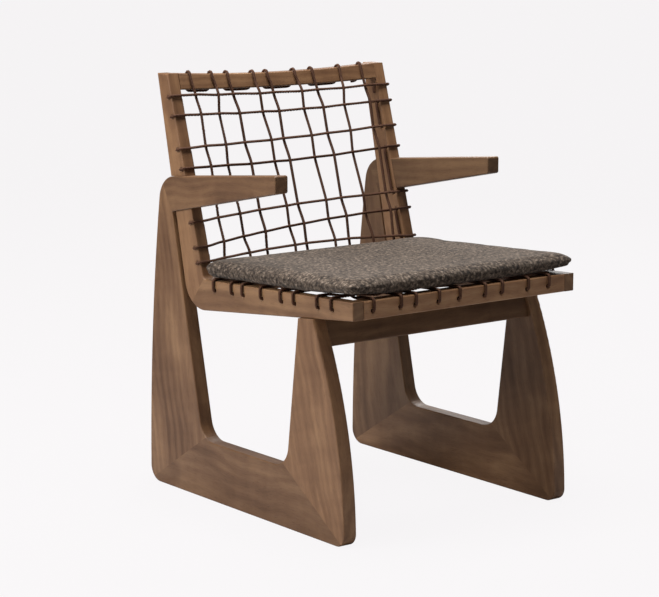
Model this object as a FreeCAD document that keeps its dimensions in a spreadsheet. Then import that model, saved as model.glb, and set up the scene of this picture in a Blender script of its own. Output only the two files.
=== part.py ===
import FreeCAD, Part
import math
import os

import Sketcher
from FreeCAD import Vector

# A laced wooden armchair. X runs across the chair, +Y points to the back and +Z up, in millimetres.
# The origin is on the floor, in the middle of the chair's box.

SIZES = (
    ("width", 520.0, "outside of the side frames"),
    ("depth", 625.5, "heels to the cord on the front rail"),
    ("height", 780.0, "floor to the top of the back"),
    ("side_thickness", 28.0, "boards of the side frames"),
    ("edge_ease", 2.5, "rounding of every long edge"),
    ("runner_height", 110.0, "floor runner"),
    ("heel_radius", 30.0, "outer corner at the floor, rear"),
    ("toe_radius", 22.0, "outer corner at the floor, front"),
    ("opening_radius", 42.0, "inner corners above the runner"),
    ("toe_setback", 17.5, "seat front to the toe"),
    ("leg_top_setback", 105.5, "seat front to the top of the front leg"),
    ("leg_top_width", 43.0, "front leg where it meets the seat rail"),
    ("front_foot_width", 165.5, "toe to the opening"),
    ("rear_foot_width", 176.5, "heel to the opening"),
    ("rear_lean", 47.0, "heel to the shoulder, measured forward"),
    ("shoulder_height", 589.0, "rear end of the arm's top"),
    ("shoulder_radius", 50.0, "rounded corner of rear leg and arm"),
    ("rear_leg_gap", 4.6, "stile to the rear leg behind it"),
    ("arm_root_height", 527.0, "inner corner under the arm"),
    ("arm_root_radius", 4.0, "inner corner under the arm"),
    ("arm_reach", 408.0, "heel to the arm's front end"),
    ("arm_height", 623.5, "top of the arm's front end"),
    ("arm_end_depth", 31.5, "height of the arm's front end"),
    ("arm_end_radius", 4.0, "corners of the arm's front end"),
    ("frame_setback", 5.0, "face of the side frame to the outside of the stile"),
    ("member_width", 24.0, "stiles and seat rails, across the chair"),
    ("stile_setback", 33.0, "heel to the back of the stile's top"),
    ("stile_top_depth", 34.5, "stile at its top"),
    ("seat_front_height", 430.2, "top of the front rail"),
    ("seat_front_depth", 32.2, "height of the seat rail's front end"),
    ("seat_drop", 19.0, "fall of the seat towards the back"),
    ("corner_inset", 177.0, "heel to the inner corner of seat and back"),
    ("elbow_inset", 127.8, "heel to the outer corner of seat and back"),
    ("elbow_height", 348.6, "outer corner of seat and back"),
    ("elbow_radius", 58.0, "outer corner of seat and back"),
    ("corner_radius", 10.0, "inner corner of seat and back"),
    ("top_rail_height", 30.0, "top rail, at its ends"),
    ("top_rail_hollow", 7.0, "dip of its upper edge in the middle"),
    ("top_rail_belly", 4.0, "dip of its lower edge in the middle"),
    ("top_rail_depth", 22.0, "top rail"),
    ("front_rail_depth", 30.0, "front rail"),
    ("rear_rail_side", 34.0, "each side of the rear rail"),
    ("stretcher_height", 48.0, "front stretcher"),
    ("stretcher_depth", 22.0, "front stretcher"),
    ("stretcher_lean", 14.0, "forward slope of the stretcher's face"),
    ("stretcher_recess", 3.0, "leg edge to the stretcher's face"),
    ("stretcher_drop", 2.0, "seat rail to the top of the stretcher"),
    ("lap_clearance", 0.2, "arm and stile, halved into each other"),
    ("glue_gap", 0.1, "around each tenon and dowel"),
    ("tenon_thickness", 8.0, "loose tenons of the side frames"),
    ("foot_tenon_width", 60.0, "heel and toe tenons, along the mitre"),
    ("foot_tenon_length", 56.0, "heel and toe tenons, across the mitre"),
    ("arm_tenon_width", 24.0, "arm tenon, along the mitre"),
    ("arm_tenon_length", 40.0, "arm tenon, across the mitre"),
    ("corner_tenon_thickness", 6.0, "tenon of seat rail and stile"),
    ("corner_tenon_cover", 3.0, "wood outside that tenon"),
    ("corner_tenon_width", 26.0, "that tenon, along the mitre"),
    ("corner_tenon_length", 44.0, "that tenon, across the mitre"),
    ("dowel_diameter", 8.0, "dowels of the three rails and the leg tops"),
    ("rail_dowel_depth", 12.0, "in each of the two pieces"),
    ("leg_dowel_depth", 12.0, "in each of the two pieces"),
    ("leg_dowel_pitch", 22.0, "between the two dowels of a leg top"),
    ("rail_dowel_pitch", 14.0, "between the two dowels of a rail end"),
    ("stretcher_dowel_diameter", 10.0, "dowels of the stretcher"),
    ("stretcher_dowel_depth", 18.0, "in each of the two pieces"),
    ("stretcher_dowel_pitch", 18.0, "between the two dowels of an end"),
    ("stretcher_dowel_cover", 3.0, "wood under the leg top's dowels"),
    ("cord_diameter", 5.5, "lacing cord"),
    ("cord_gap", 0.3, "cord to wood, and cord to cord"),
    ("cord_bend", 4.5, "cord's turn round an edge, at its middle"),
    ("cord_ramp", 30.0, "cord's gentle turn on to the other layer"),
    ("cord_tail", 14.0, "loose end past the last hole"),
    ("hole_clearance", 0.3, "around the cord in its hole"),
    ("hole_flare", 2.5, "eased mouth of each hole"),
    ("stile_hole_depth", 10.0, "front of the stile to its holes"),
    ("seat_hole_depth", 18.0, "top of the seat to its holes"),
    ("top_hole_inset", 8.0, "front of the top rail to its holes"),
    ("rear_back_hole", 17.0, "rear rail: corner to the back cord's holes"),
    ("rear_seat_hole", 20.0, "rear rail: corner to the seat cord's holes"),
    ("cushion_side_gap", 2.0, "outside of each seat rail to the cushion"),
    ("cushion_front_gap", 2.0, "seat front to the cushion"),
    ("cushion_rear_gap", 9.0, "corner of seat and back to the cushion"),
    ("cushion_edge", 21.0, "height of the cushion's sides"),
    ("cushion_crown", 6.0, "rise of its top"),
    ("cushion_corner", 16.0, "corner radius"),
    ("cushion_draw", 4.0, "how far its sides pull in"),
    ("cushion_tuck", 8.0, "how far its seams lie inside its sides"),
    ("cover_thickness", 1.5, "tweed of the cover"),
    ("foam_gap", 0.3, "cover to foam"),
    ("cushion_rest_gap", 0.3, "cords to the cushion"),
)

# Where the hand-laced cords cross their rails, as shares of the open lengths: above and below the arm on
# either stile, from the middle out to the stile for the back's cords, which lean from the top rail to the
# rear rail, and for the seat's at the front rail, and from the seat's front back to its corner.
LEFT_UPPER_SHARES = (0.219, 0.412, 0.735, 0.93)
LEFT_LOWER_SHARES = (0.194, 0.549, 0.76)
RIGHT_UPPER_SHARES = (0.229, 0.396, 0.657, 0.876)
RIGHT_LOWER_SHARES = (0.05, 0.3, 0.723)
TOP_SHARES = (-0.9, -0.688, -0.535, -0.277, -0.141, 0.14, 0.324, 0.615, 0.845)
REAR_SHARES = (-0.879, -0.623, -0.455, -0.182, -0.043, 0.238, 0.39, 0.645, 0.866)
FRONT_SHARES = (-0.918, -0.658, -0.515, -0.29, -0.087, 0.169, 0.342, 0.61, 0.827)
SEAT_SHARES = (0.131, 0.221, 0.372, 0.458, 0.591, 0.718, 0.794, 0.919)

# Shares of a mitre's length: where its tenon sits, from the inner corner, and how far its line runs on
# past the outline when the boards are parted.
FOOT_TENON_SHARE = 0.5
ARM_TENON_SHARE = 0.4
CORNER_TENON_SHARE = 0.38
MITRE_OVERRUN = 0.3

# The most of a cord's straight run that the turn at either end of it may take
TURN_SHARE = 0.49

# Two points closer than this are one, in millimetres
TOUCH = 0.01

doc = FreeCAD.newDocument("laced_armchair")
sheet = doc.addObject("Spreadsheet::Sheet", "dims")
for row, (alias, value, note) in enumerate(SIZES, start=1):
    sheet.set(f"A{row}", alias)
    sheet.set(f"B{row}", str(value))
    sheet.setAlias(f"B{row}", alias)
    sheet.set(f"C{row}", note)
doc.recompute()


class Size:
    """A length: its value now, and the expression that gives it from the sheet."""

    def __init__(self, value, text):
        self.value = value
        self.text = text

    def __add__(self, other):
        other = as_size(other)
        return Size(self.value + other.value, f"({self.text} + {other.text})")

    def __radd__(self, other):
        return as_size(other) + self

    def __sub__(self, other):
        other = as_size(other)
        return Size(self.value - other.value, f"({self.text} - {other.text})")

    def __rsub__(self, other):
        return as_size(other) - self

    def __mul__(self, other):
        other = as_size(other)
        return Size(self.value * other.value, f"({self.text} * {other.text})")

    def __rmul__(self, other):
        return as_size(other) * self

    def __truediv__(self, other):
        other = as_size(other)
        return Size(self.value / other.value, f"({self.text} / {other.text})")

    def __neg__(self):
        return Size(-self.value, f"(-1 * {self.text})")


def as_size(number):
    return number if isinstance(number, Size) else Size(float(number), repr(float(number)))


def root(size):
    return Size(math.sqrt(size.value), f"sqrt({size.text})")


def dim(alias):
    return Size(float(sheet.get(alias)), f"dims.{alias}")


class Spot:
    """A point of the chair's side view: its place back (y) and up (z)."""

    def __init__(self, y, z):
        self.y = as_size(y)
        self.z = as_size(z)

    def __add__(self, other):
        return Spot(self.y + other.y, self.z + other.z)

    def __sub__(self, other):
        return Spot(self.y - other.y, self.z - other.z)

    def __mul__(self, factor):
        return Spot(self.y * factor, self.z * factor)

    def length(self):
        return root(self.y * self.y + self.z * self.z)

    def unit(self):
        length = self.length()
        return Spot(self.y / length, self.z / length)

    def at(self, x):
        """The point in space at this place of the side view."""
        return Vector(x, self.y.value, self.z.value)


def square_to(direction):
    """The direction turned a quarter turn, from forward to up and from up to back."""
    return Spot(direction.z, -direction.y)


def past(start, end, share):
    """A point beyond the end of a line, by a share of the line's length."""
    return end + (end - start) * share


# Key places of the side view
front_y = dim("cord_diameter") + dim("cord_gap") - dim("depth") / 2
heel_y = dim("depth") / 2

seat_low_front = Spot(front_y, dim("seat_front_height") - dim("seat_front_depth"))
seat_top_front = Spot(front_y, dim("seat_front_height"))
corner = Spot(heel_y - dim("corner_inset"), dim("seat_front_height") - dim("seat_drop"))
elbow = Spot(heel_y - dim("elbow_inset"), dim("elbow_height"))
back_top_rear = Spot(heel_y - dim("stile_setback"), dim("height"))
back_top_front = Spot(back_top_rear.y - dim("stile_top_depth"), dim("height"))

back_down = (corner - back_top_front).unit()
into_back = square_to(back_down) * -1
seat_back = (corner - seat_top_front).unit()
seat_up = square_to(seat_back) * -1


def seat_top_z(y):
    rise = (seat_top_front.z - corner.z) / (corner.y - seat_top_front.y)
    return seat_top_front.z - (y - front_y) * rise


def seat_low_z(y):
    rise = (seat_low_front.z - elbow.z) / (elbow.y - seat_low_front.y)
    return seat_low_front.z - (y - front_y) * rise


def stile_rear_y(z):
    lean = (back_top_rear.y - elbow.y) / (back_top_rear.z - elbow.z)
    return elbow.y + (z - elbow.z) * lean


toe = Spot(front_y + dim("toe_setback"), 0)
heel = Spot(heel_y, 0)
leg_front_y = front_y + dim("leg_top_setback")
leg_rear_y = leg_front_y + dim("leg_top_width")
leg_top_front = Spot(leg_front_y, seat_low_z(leg_front_y))
leg_top_rear = Spot(leg_rear_y, seat_low_z(leg_rear_y))
opening_front = Spot(toe.y + dim("front_foot_width"), dim("runner_height"))
opening_rear = Spot(heel_y - dim("rear_foot_width"), dim("runner_height"))
arm_root_z = dim("arm_root_height")
arm_root = Spot(stile_rear_y(arm_root_z) + dim("rear_leg_gap"), arm_root_z)
arm_end_low = Spot(heel_y - dim("arm_reach"), dim("arm_height") - dim("arm_end_depth"))
arm_end_top = Spot(heel_y - dim("arm_reach"), dim("arm_height"))
shoulder = Spot(heel_y - dim("rear_lean"), dim("shoulder_height"))

# Key places across the chair, from the middle outwards
side_outer = dim("width") / 2
side_inner = side_outer - dim("side_thickness")
member_outer = side_outer - dim("frame_setback")
member_inner = member_outer - dim("member_width")
lap = (side_inner + member_outer) / 2


def upright_radius(foot, top):
    """Radius of the arc that leaves the floor upright at its foot and ends at its top."""
    span = top - foot
    lean = root(span.y * span.y)
    return (span.y * span.y + span.z * span.z) / (2 * lean)


# Building blocks
subparts = {}


def draw_outline(sketch, spots, arcs):
    """A closed outline through the spots. arcs gives a side's radius and which way it bulges."""
    starts = []
    ends = []
    for i, spot in enumerate(spots):
        after = spots[(i + 1) % len(spots)]
        a = Vector(spot.y.value, spot.z.value, 0)
        b = Vector(after.y.value, after.z.value, 0)
        if i not in arcs:
            sketch.addGeometry(Part.LineSegment(a, b))
            starts.append(1)
            ends.append(2)
            continue
        radius, outward = arcs[i]
        half = (b - a) / 2
        rise = radius.value - math.sqrt(radius.value**2 - half.Length**2)
        sideways = Vector(half.y, -half.x, 0).normalize()
        turns_left = sideways.dot(Vector(*outward, 0)) > 0
        middle = a + half + sideways * (rise if turns_left else -rise)
        sketch.addGeometry(Part.Arc(a, middle, b) if turns_left else Part.Arc(b, middle, a))
        starts.append(1 if turns_left else 2)
        ends.append(2 if turns_left else 1)
    for i in range(len(spots)):
        after = (i + 1) % len(spots)
        sketch.addConstraint(Sketcher.Constraint("Coincident", i, ends[i], after, starts[after]))
    for i, spot in enumerate(spots):
        for kind, size in (("DistanceX", spot.y), ("DistanceY", spot.z)):
            place = Sketcher.Constraint(kind, -1, 1, i, starts[i], size.value)
            number = sketch.addConstraint(place)
            sketch.setExpression(f"Constraints[{number}]", size.text)
    for i, (radius, _) in arcs.items():
        number = sketch.addConstraint(Sketcher.Constraint("Radius", i, radius.value))
        sketch.setExpression(f"Constraints[{number}]", radius.text)


def outline_sketch(body, label, plane_role, spots, arcs):
    """A sketch of an outline on one of a body's own planes."""
    sketch = body.newObject("Sketcher::SketchObject", label + "_outline")
    plane = [f for f in body.Origin.OriginFeatures if f.Role == plane_role][0]
    sketch.AttachmentSupport = [(plane, "")]
    sketch.MapMode = "FlatFace"
    draw_outline(sketch, spots, arcs)
    return sketch


def board(label, spots, x_from, thickness, arcs=None):
    """A flat board: an outline of the side view, given a thickness across the chair."""
    body = doc.addObject("PartDesign::Body", label)
    pad_sketch = outline_sketch(body, label, "YZ_Plane", spots, arcs or {})
    pad = body.newObject("PartDesign::Pad", label + "_pad")
    pad.Profile = pad_sketch
    pad.setExpression("Length", thickness.text)
    body.setExpression("Placement.Base.x", x_from.text)
    doc.recompute()
    return body


def cut_from_front(body, label, spots, arcs):
    """Cuts an outline right through a body from its front. A spot's y is here a place across it."""
    pocket_sketch = outline_sketch(body, label, "XZ_Plane", spots, arcs)
    pocket = body.newObject("PartDesign::Pocket", label + "_pocket")
    pocket.Profile = pocket_sketch
    pocket.Type = "ThroughAll"
    pocket.Midplane = True
    doc.recompute()


def round_off(body, label, radius, wanted):
    """Rounds the edges of a body's last feature that the test picks."""
    base = body.Tip
    names = [f"Edge{i}" for i, edge in enumerate(base.Shape.Edges, start=1) if wanted(edge)]
    fillet = body.newObject("PartDesign::Fillet", label)
    fillet.Base = (base, names)
    fillet.setExpression("Radius", radius.text)
    doc.recompute()


def runs_across(edge, spot):
    """True for the edge across the chair that stands at a spot of the side view."""
    ends = [v.Point for v in edge.Vertexes]
    return len(ends) == 2 and all(
        math.hypot(p.y - spot.y.value, p.z - spot.z.value) < TOUCH for p in ends
    )


def on_face(edge, thickness, skip=()):
    """True for an edge of a board's two faces, but not along a skipped line of the side view."""
    middle = edge.valueAt((edge.FirstParameter + edge.LastParameter) / 2)
    ends = [v.Point for v in edge.Vertexes]
    flat = [all(abs(p.x - x) < TOUCH for p in ends + [middle]) for x in (0, thickness.value)]
    for a, b in skip:
        line = b.at(0) - a.at(0)
        offset = Vector(0, middle.y, middle.z) - a.at(0)
        if line.cross(offset).Length / line.Length < TOUCH:
            return False
    return any(flat)


def round_corners(body, label, corners):
    for name, spot, radius in corners:
        round_off(body, f"{label}_{name}", radius, lambda edge: runs_across(edge, spot))


def ease_board(body, label, thickness, skip=()):
    round_off(body, f"{label}_eased", dim("edge_ease"), lambda e: on_face(e, thickness, skip))


def ease_rail(body, label):
    """Rounds the long edges of a rail, which run across the chair."""
    round_off(
        body,
        f"{label}_eased",
        dim("edge_ease"),
        lambda e: abs(e.tangentAt(e.FirstParameter).x) > 0.99,
    )


def common(label, base, tool):
    piece = doc.addObject("Part::Common", label)
    piece.Base = base
    piece.Tool = tool
    return piece


def group(label, members):
    bundle = doc.addObject("Part::Compound", label)
    bundle.Links = members
    return bundle


def cut(label, base, tools):
    piece = doc.addObject("Part::Cut", label)
    piece.Base = base
    piece.Tool = group(label + "_cuts", tools)
    return piece


def keep(label, piece):
    piece.Label = label
    subparts[label] = piece


def tenon_spots(start, end, share, width, length):
    """Four corners of a tenon that crosses a mitre at a share of the mitre's length."""
    along = (end - start).unit()
    across = square_to(along)
    middle = start + (end - start) * share
    half = along * (width / 2)
    reach = across * (length / 2)
    return [middle - half - reach, middle + half - reach, middle + half + reach, middle - half + reach]


def tenon_and_mortise(label, mitre, width, length, x_from, thickness):
    """A loose tenon, kept as a sub-part, and the mortise that both pieces are cut with."""
    start, end, share = mitre
    gap = dim("glue_gap")
    keep(label, board(label, tenon_spots(start, end, share, width, length), x_from, thickness))
    spots = tenon_spots(start, end, share, width + 2 * gap, length + 2 * gap)
    return board(label + "_mortise", spots, x_from - gap, thickness + 2 * gap)


def cylinder(label, radius, length, x, spot, along):
    """A cylinder from a point, along X or along Z."""
    rod = doc.addObject("Part::Cylinder", label)
    rod.setExpression("Radius", radius.text)
    rod.setExpression("Height", length.text)
    if along == "x":
        rod.Placement = FreeCAD.Placement(Vector(), FreeCAD.Rotation(Vector(0, 1, 0), 90))
    for axis, size in (("x", x), ("y", spot.y), ("z", spot.z)):
        rod.setExpression(f"Placement.Base.{axis}", size.text)
    return rod


def dowel_and_bore(label, diameter, x, spot, length, along):
    """A dowel and the bore that holds it, which is longer by the glue gap at both ends."""
    gap = dim("glue_gap")
    dowel = cylinder(label, diameter / 2, length, x, spot, along)
    if along == "x":
        bore = cylinder(label + "_bore", diameter / 2 + gap, length + 2 * gap, x - gap, spot, along)
    else:
        low = Spot(spot.y, spot.z - gap)
        bore = cylinder(label + "_bore", diameter / 2 + gap, length + 2 * gap, x, low, along)
    return dowel, bore


def end_dowels(label, spots, diameter, face, depth):
    """Dowels across the two end faces of a piece between the sides: the dowels, and the bores by side."""
    dowels = []
    bores = {"left": [], "right": []}
    for side, x in (("left", -face - depth), ("right", face - depth)):
        for number, spot in enumerate(spots, start=1):
            name = f"{label}_{side}_{number}"
            dowel, bore = dowel_and_bore(name, diameter, x, spot, 2 * depth, "x")
            dowels.append(dowel)
            bores[side].append(bore)
    keep(label, group(label, dowels))
    return bores


def lacing_holes(label, mouths):
    """Drilled holes with eased mouths, each from one face to the other."""
    radius = cord_radius + dim("hole_clearance").value
    flare = dim("hole_flare").value
    drills = []
    for start, end in mouths:
        way = (end - start).normalize()
        drills.append(Part.makeCylinder(radius, (end - start).Length + 2 * flare, start - way * flare, way))
        for mouth, inward in ((start, way), (end, -way)):
            tip = mouth - inward * flare
            drills.append(Part.makeCone(radius + 2 * flare, radius, 2 * flare, tip, inward))
    holes = doc.addObject("Part::Feature", label)
    holes.Shape = Part.makeCompound(drills)
    return holes


# Places of the lacing
cord_radius = dim("cord_diameter").value / 2
cord_off = cord_radius + dim("cord_gap").value
layer_off = cord_off + dim("cord_diameter").value + dim("cord_gap").value
stile_hole = dim("stile_hole_depth").value
seat_hole = dim("seat_hole_depth").value
inner_x = member_inner.value
outer_x = member_outer.value
back_top_x = [share * inner_x for share in TOP_SHARES]
back_low_x = [share * inner_x for share in REAR_SHARES]
seat_long_x = [share * inner_x for share in FRONT_SHARES]
down_length = (corner - back_top_front).length().value
seat_length = (corner - seat_top_front).length().value
seat_stations = [share * seat_length for share in SEAT_SHARES]


def down_to(start, end):
    """How far down the front of the back it crosses a line of the side view."""
    way = end.at(0) - start.at(0)
    square = Vector(0, way.z, -way.y)
    return (start.at(0) - back_top_front.at(0)).dot(square) / back_down.at(0).dot(square)


def back_stations(upper, lower):
    """Ways down the back to a stile's cords: those above the arm, and those under it."""
    above = down_to(arm_end_top, shoulder)
    under = down_to(arm_end_low, arm_root)
    stations = [share * above for share in upper]
    return stations + [under + share * (down_length - under) for share in lower]


left_stations = back_stations(LEFT_UPPER_SHARES, LEFT_LOWER_SHARES)
right_stations = back_stations(RIGHT_UPPER_SHARES, RIGHT_LOWER_SHARES)


def on_back(x, down, into):
    """A point by its way down the front of the back, and by its depth into the stile."""
    spot = back_top_front + back_down * down + into_back * into
    return spot.at(x)


def on_seat(x, back, up):
    """A point by its way back along the top of the seat, and by its height above it."""
    spot = seat_top_front + seat_back * back + seat_up * up
    return spot.at(x)


# Side frames
dowel = dim("dowel_diameter")
leg_middle_y = (leg_front_y + leg_rear_y) / 2
leg_dowel_ys = [leg_middle_y - dim("leg_dowel_pitch") / 2, leg_middle_y + dim("leg_dowel_pitch") / 2]
leg_dowels = []
leg_bores = {"left": [], "right": []}
for side, sign in (("left", -1), ("right", 1)):
    for number, y in enumerate(leg_dowel_ys, start=1):
        low = Spot(y, seat_low_z(y) - dim("leg_dowel_depth"))
        name = f"{side}_leg_top_dowel_{number}"
        pin, bore = dowel_and_bore(name, dowel, sign * lap, low, 2 * dim("leg_dowel_depth"), "z")
        leg_dowels.append(pin)
        leg_bores[side].append(bore)
keep("leg_top_dowels", group("leg_top_dowels", leg_dowels))

stretcher_top_z = leg_top_front.z - dim("stretcher_drop")
stretcher_low_z = stretcher_top_z - dim("stretcher_height")
stretcher_top_front = Spot(leg_front_y + dim("stretcher_recess"), stretcher_top_z)
stretcher_low_front = Spot(stretcher_top_front.y - dim("stretcher_lean"), stretcher_low_z)
stretcher_across = Spot(dim("stretcher_depth"), 0)
stretcher_spots = [
    stretcher_low_front,
    stretcher_low_front + stretcher_across,
    stretcher_top_front + stretcher_across,
    stretcher_top_front,
]
stretcher_middle = (stretcher_low_front + stretcher_top_front + stretcher_across) * 0.5
stretcher_lean = dim("stretcher_lean") / dim("stretcher_height")
stretcher_dowel = dim("stretcher_dowel_diameter")
leg_dowel_foot = leg_top_rear.z - dim("leg_dowel_depth")
upper_dowel_z = leg_dowel_foot - dim("stretcher_dowel_cover") - stretcher_dowel / 2
stretcher_dowel_spots = []
for z in (upper_dowel_z, upper_dowel_z - dim("stretcher_dowel_pitch")):
    y = stretcher_middle.y + (z - stretcher_middle.z) * stretcher_lean
    stretcher_dowel_spots.append(Spot(y, z))
stretcher_bores = end_dowels(
    "stretcher_dowels", stretcher_dowel_spots, stretcher_dowel, side_inner, dim("stretcher_dowel_depth")
)
stretcher = board("front_stretcher_board", stretcher_spots, -side_inner, 2 * side_inner)
ease_rail(stretcher, "front_stretcher")
both_ends = stretcher_bores["left"] + stretcher_bores["right"]
keep("front_stretcher", cut("front_stretcher", stretcher, both_ends))

side_spots = [
    toe,
    leg_top_front,
    leg_top_rear,
    opening_front,
    opening_rear,
    arm_root,
    arm_end_low,
    arm_end_top,
    shoulder,
    heel,
]
side_arcs = {
    0: (upright_radius(toe, leg_top_front), (-1, 0)),
    8: (upright_radius(heel, shoulder), (1, 0)),
}
side_corners = [
    ("toe", toe, dim("toe_radius")),
    ("heel", heel, dim("heel_radius")),
    ("opening_front", opening_front, dim("opening_radius")),
    ("opening_rear", opening_rear, dim("opening_radius")),
    ("shoulder", shoulder, dim("shoulder_radius")),
    ("arm_root", arm_root, dim("arm_root_radius")),
    ("arm_end_low", arm_end_low, dim("arm_end_radius")),
    ("arm_end_top", arm_end_top, dim("arm_end_radius")),
]

# The side frame's boards meet on mitres, which run on a little past the outline.
heel_in = past(heel, opening_rear, MITRE_OVERRUN)
heel_out = past(opening_rear, heel, MITRE_OVERRUN)
toe_in = past(toe, opening_front, MITRE_OVERRUN)
toe_out = past(opening_front, toe, MITRE_OVERRUN)
arm_in = past(shoulder, arm_root, MITRE_OVERRUN)
arm_out = past(arm_root, shoulder, MITRE_OVERRUN)
above_arm = dim("arm_height") + dim("arm_end_depth")
before_arm = arm_end_top.y - dim("arm_end_depth")
behind_heel = heel_out.y + dim("heel_radius")
before_toe = toe_out.y - dim("toe_radius")
above_leg = leg_top_front.z + dim("runner_height") / 2
side_zones = {
    "runner": [heel_in, toe_in, toe_out, heel_out],
    "rear_leg": [
        heel_in,
        heel_out,
        Spot(behind_heel, heel_out.z),
        Spot(behind_heel, arm_out.z),
        arm_out,
        arm_in,
    ],
    "front_leg": [
        toe_in,
        Spot(leg_rear_y + dim("opening_radius"), above_leg),
        Spot(before_toe, above_leg),
        Spot(before_toe, toe_out.z),
        toe_out,
    ],
    "arm": [
        arm_in,
        arm_out,
        Spot(arm_out.y, above_arm),
        Spot(before_arm, above_arm),
        Spot(before_arm, arm_in.z),
    ],
}

mitres = {
    "heel_tenon": (opening_rear, heel, FOOT_TENON_SHARE),
    "toe_tenon": (opening_front, toe, FOOT_TENON_SHARE),
    "arm_tenon": (arm_root, shoulder, ARM_TENON_SHARE),
}
slack = dim("lap_clearance")
stile_band = [
    corner - Spot(slack, 0),
    back_top_front - Spot(slack, 0),
    back_top_rear + Spot(slack, 0),
    elbow + Spot(slack, 0),
]
arm_band = [
    arm_root - Spot(0, slack),
    arm_end_low - Spot(0, slack),
    arm_end_top + Spot(0, slack),
    shoulder + Spot(0, slack),
]
past_face = dim("edge_ease")
stile_notches = {}

for side, sign in (("left", -1), ("right", 1)):
    thickness = dim("side_thickness")
    x_from = -side_outer if sign < 0 else side_inner
    blank = board(f"{side}_side_blank", side_spots, x_from, thickness, side_arcs)
    round_corners(blank, f"{side}_side", side_corners)
    ease_board(blank, f"{side}_side", thickness, [(leg_top_front, leg_top_rear)])

    # The arm's tenon keeps to the outer half of the board, clear of the stile.
    tenon = dim("tenon_thickness")
    outer_half_x = -side_outer if sign < 0 else lap
    foot_tenon = (dim("foot_tenon_width"), dim("foot_tenon_length"), x_from + (thickness - tenon) / 2)
    arm_tenon_x = outer_half_x + (side_outer - lap - tenon) / 2
    arm_tenon = (dim("arm_tenon_width"), dim("arm_tenon_length"), arm_tenon_x)
    mortises = {}
    for name, mitre in mitres.items():
        width, length, tenon_x = arm_tenon if name == "arm_tenon" else foot_tenon
        mortises[name] = tenon_and_mortise(f"{side}_{name}", mitre, width, length, tenon_x, tenon)

    notch_depth = lap + slack / 2 - side_inner + past_face
    notch_x = -lap - slack / 2 if sign < 0 else side_inner - past_face
    arm_notch = board(f"{side}_arm_notch", stile_band, notch_x, notch_depth)
    notch_depth = member_outer - lap + slack / 2 + past_face
    notch_x = -member_outer - past_face if sign < 0 else lap - slack / 2
    stile_notches[side] = board(f"{side}_stile_notch", arm_band, notch_x, notch_depth)

    cuts = {
        "runner": [mortises["heel_tenon"], mortises["toe_tenon"]],
        "rear_leg": [mortises["heel_tenon"], mortises["arm_tenon"]],
        "front_leg": [mortises["toe_tenon"]] + leg_bores[side] + stretcher_bores[side],
        "arm": [mortises["arm_tenon"], arm_notch],
    }
    for name, spots in side_zones.items():
        label = f"{side}_{name}"
        zone = board(label + "_zone", spots, x_from, thickness)
        keep(label, cut(label, common(label + "_blank", blank, zone), cuts[name]))

# Top rail, front rail and rear rail
slope = (back_top_front.y - corner.y) / (back_top_front.z - corner.z)
rail_low_z = dim("height") - dim("top_rail_height")
rail_low_front = Spot(back_top_front.y - slope * dim("top_rail_height"), rail_low_z)
rail_across = Spot(dim("top_rail_depth"), 0)
top_rail_spots = [
    rail_low_front,
    rail_low_front + rail_across,
    back_top_front + rail_across,
    back_top_front,
]
front_rail_rear = front_y + dim("front_rail_depth")
front_rail_spots = [
    seat_low_front,
    Spot(front_rail_rear, seat_low_z(front_rail_rear)),
    Spot(front_rail_rear, seat_top_z(front_rail_rear)),
    seat_top_front,
]
rear_rail_down = back_down * dim("rear_rail_side")
rear_rail_across = seat_back * dim("rear_rail_side")
rear_rail_spots = [
    corner + rear_rail_down,
    corner + rear_rail_down + rear_rail_across,
    corner + rear_rail_across,
    corner,
]


def hang(sag, x):
    """How far an arc between the stiles hangs down at a place across the chair."""
    sag = sag.value
    radius = (inner_x**2 + sag**2) / (2 * sag)
    return math.sqrt(radius**2 - x**2) - (radius - sag)


def cross_rail(label, spots, mouths, board_spots=None, front_cuts=()):
    """A rail between the seat and back frame's members, with its dowels and its lacing holes. It may be cut
    from a higher board, with an outline of the front view taken out of its top and its bottom."""
    middle = (spots[0] + spots[1] + spots[2] + spots[3]) * 0.25
    rise = (spots[3] - spots[0]).unit() * (dim("rail_dowel_pitch") / 2)
    bores = end_dowels(
        f"{label}_dowels", [middle - rise, middle + rise], dowel, member_inner, dim("rail_dowel_depth")
    )
    rail = board(f"{label}_board", board_spots or spots, -member_inner, 2 * member_inner)
    for name, cut_spots, arcs in front_cuts:
        cut_from_front(rail, f"{label}_{name}", cut_spots, arcs)
    ease_rail(rail, label)
    holes = lacing_holes(f"{label}_holes", mouths)
    keep(label, cut(label, rail, bores["left"] + bores["right"] + [holes]))
    return bores


# The top rail's upper and lower edges both hang down in the middle, on arcs of their own
hollow = dim("top_rail_hollow")
belly = dim("top_rail_belly")
under_board = 2 * belly
low_board = Spot(slope * -under_board, -under_board)
top_rail_board = [top_rail_spots[0] + low_board, top_rail_spots[1] + low_board] + top_rail_spots[2:]
top_rail_cuts = []
for name, level, sag, beyond in (
    ("hollow", dim("height"), hollow, dim("height") + hollow),
    ("belly", rail_low_z, belly, rail_low_z - 2 * under_board),
):
    span = 2 * member_inner
    arc_radius = (member_inner * member_inner + sag * sag) / (2 * sag)
    spots = [Spot(0, level), Spot(span, level), Spot(span, beyond), Spot(0, beyond)]
    top_rail_cuts.append((name, spots, {0: (arc_radius, (0, -1))}))

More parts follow.
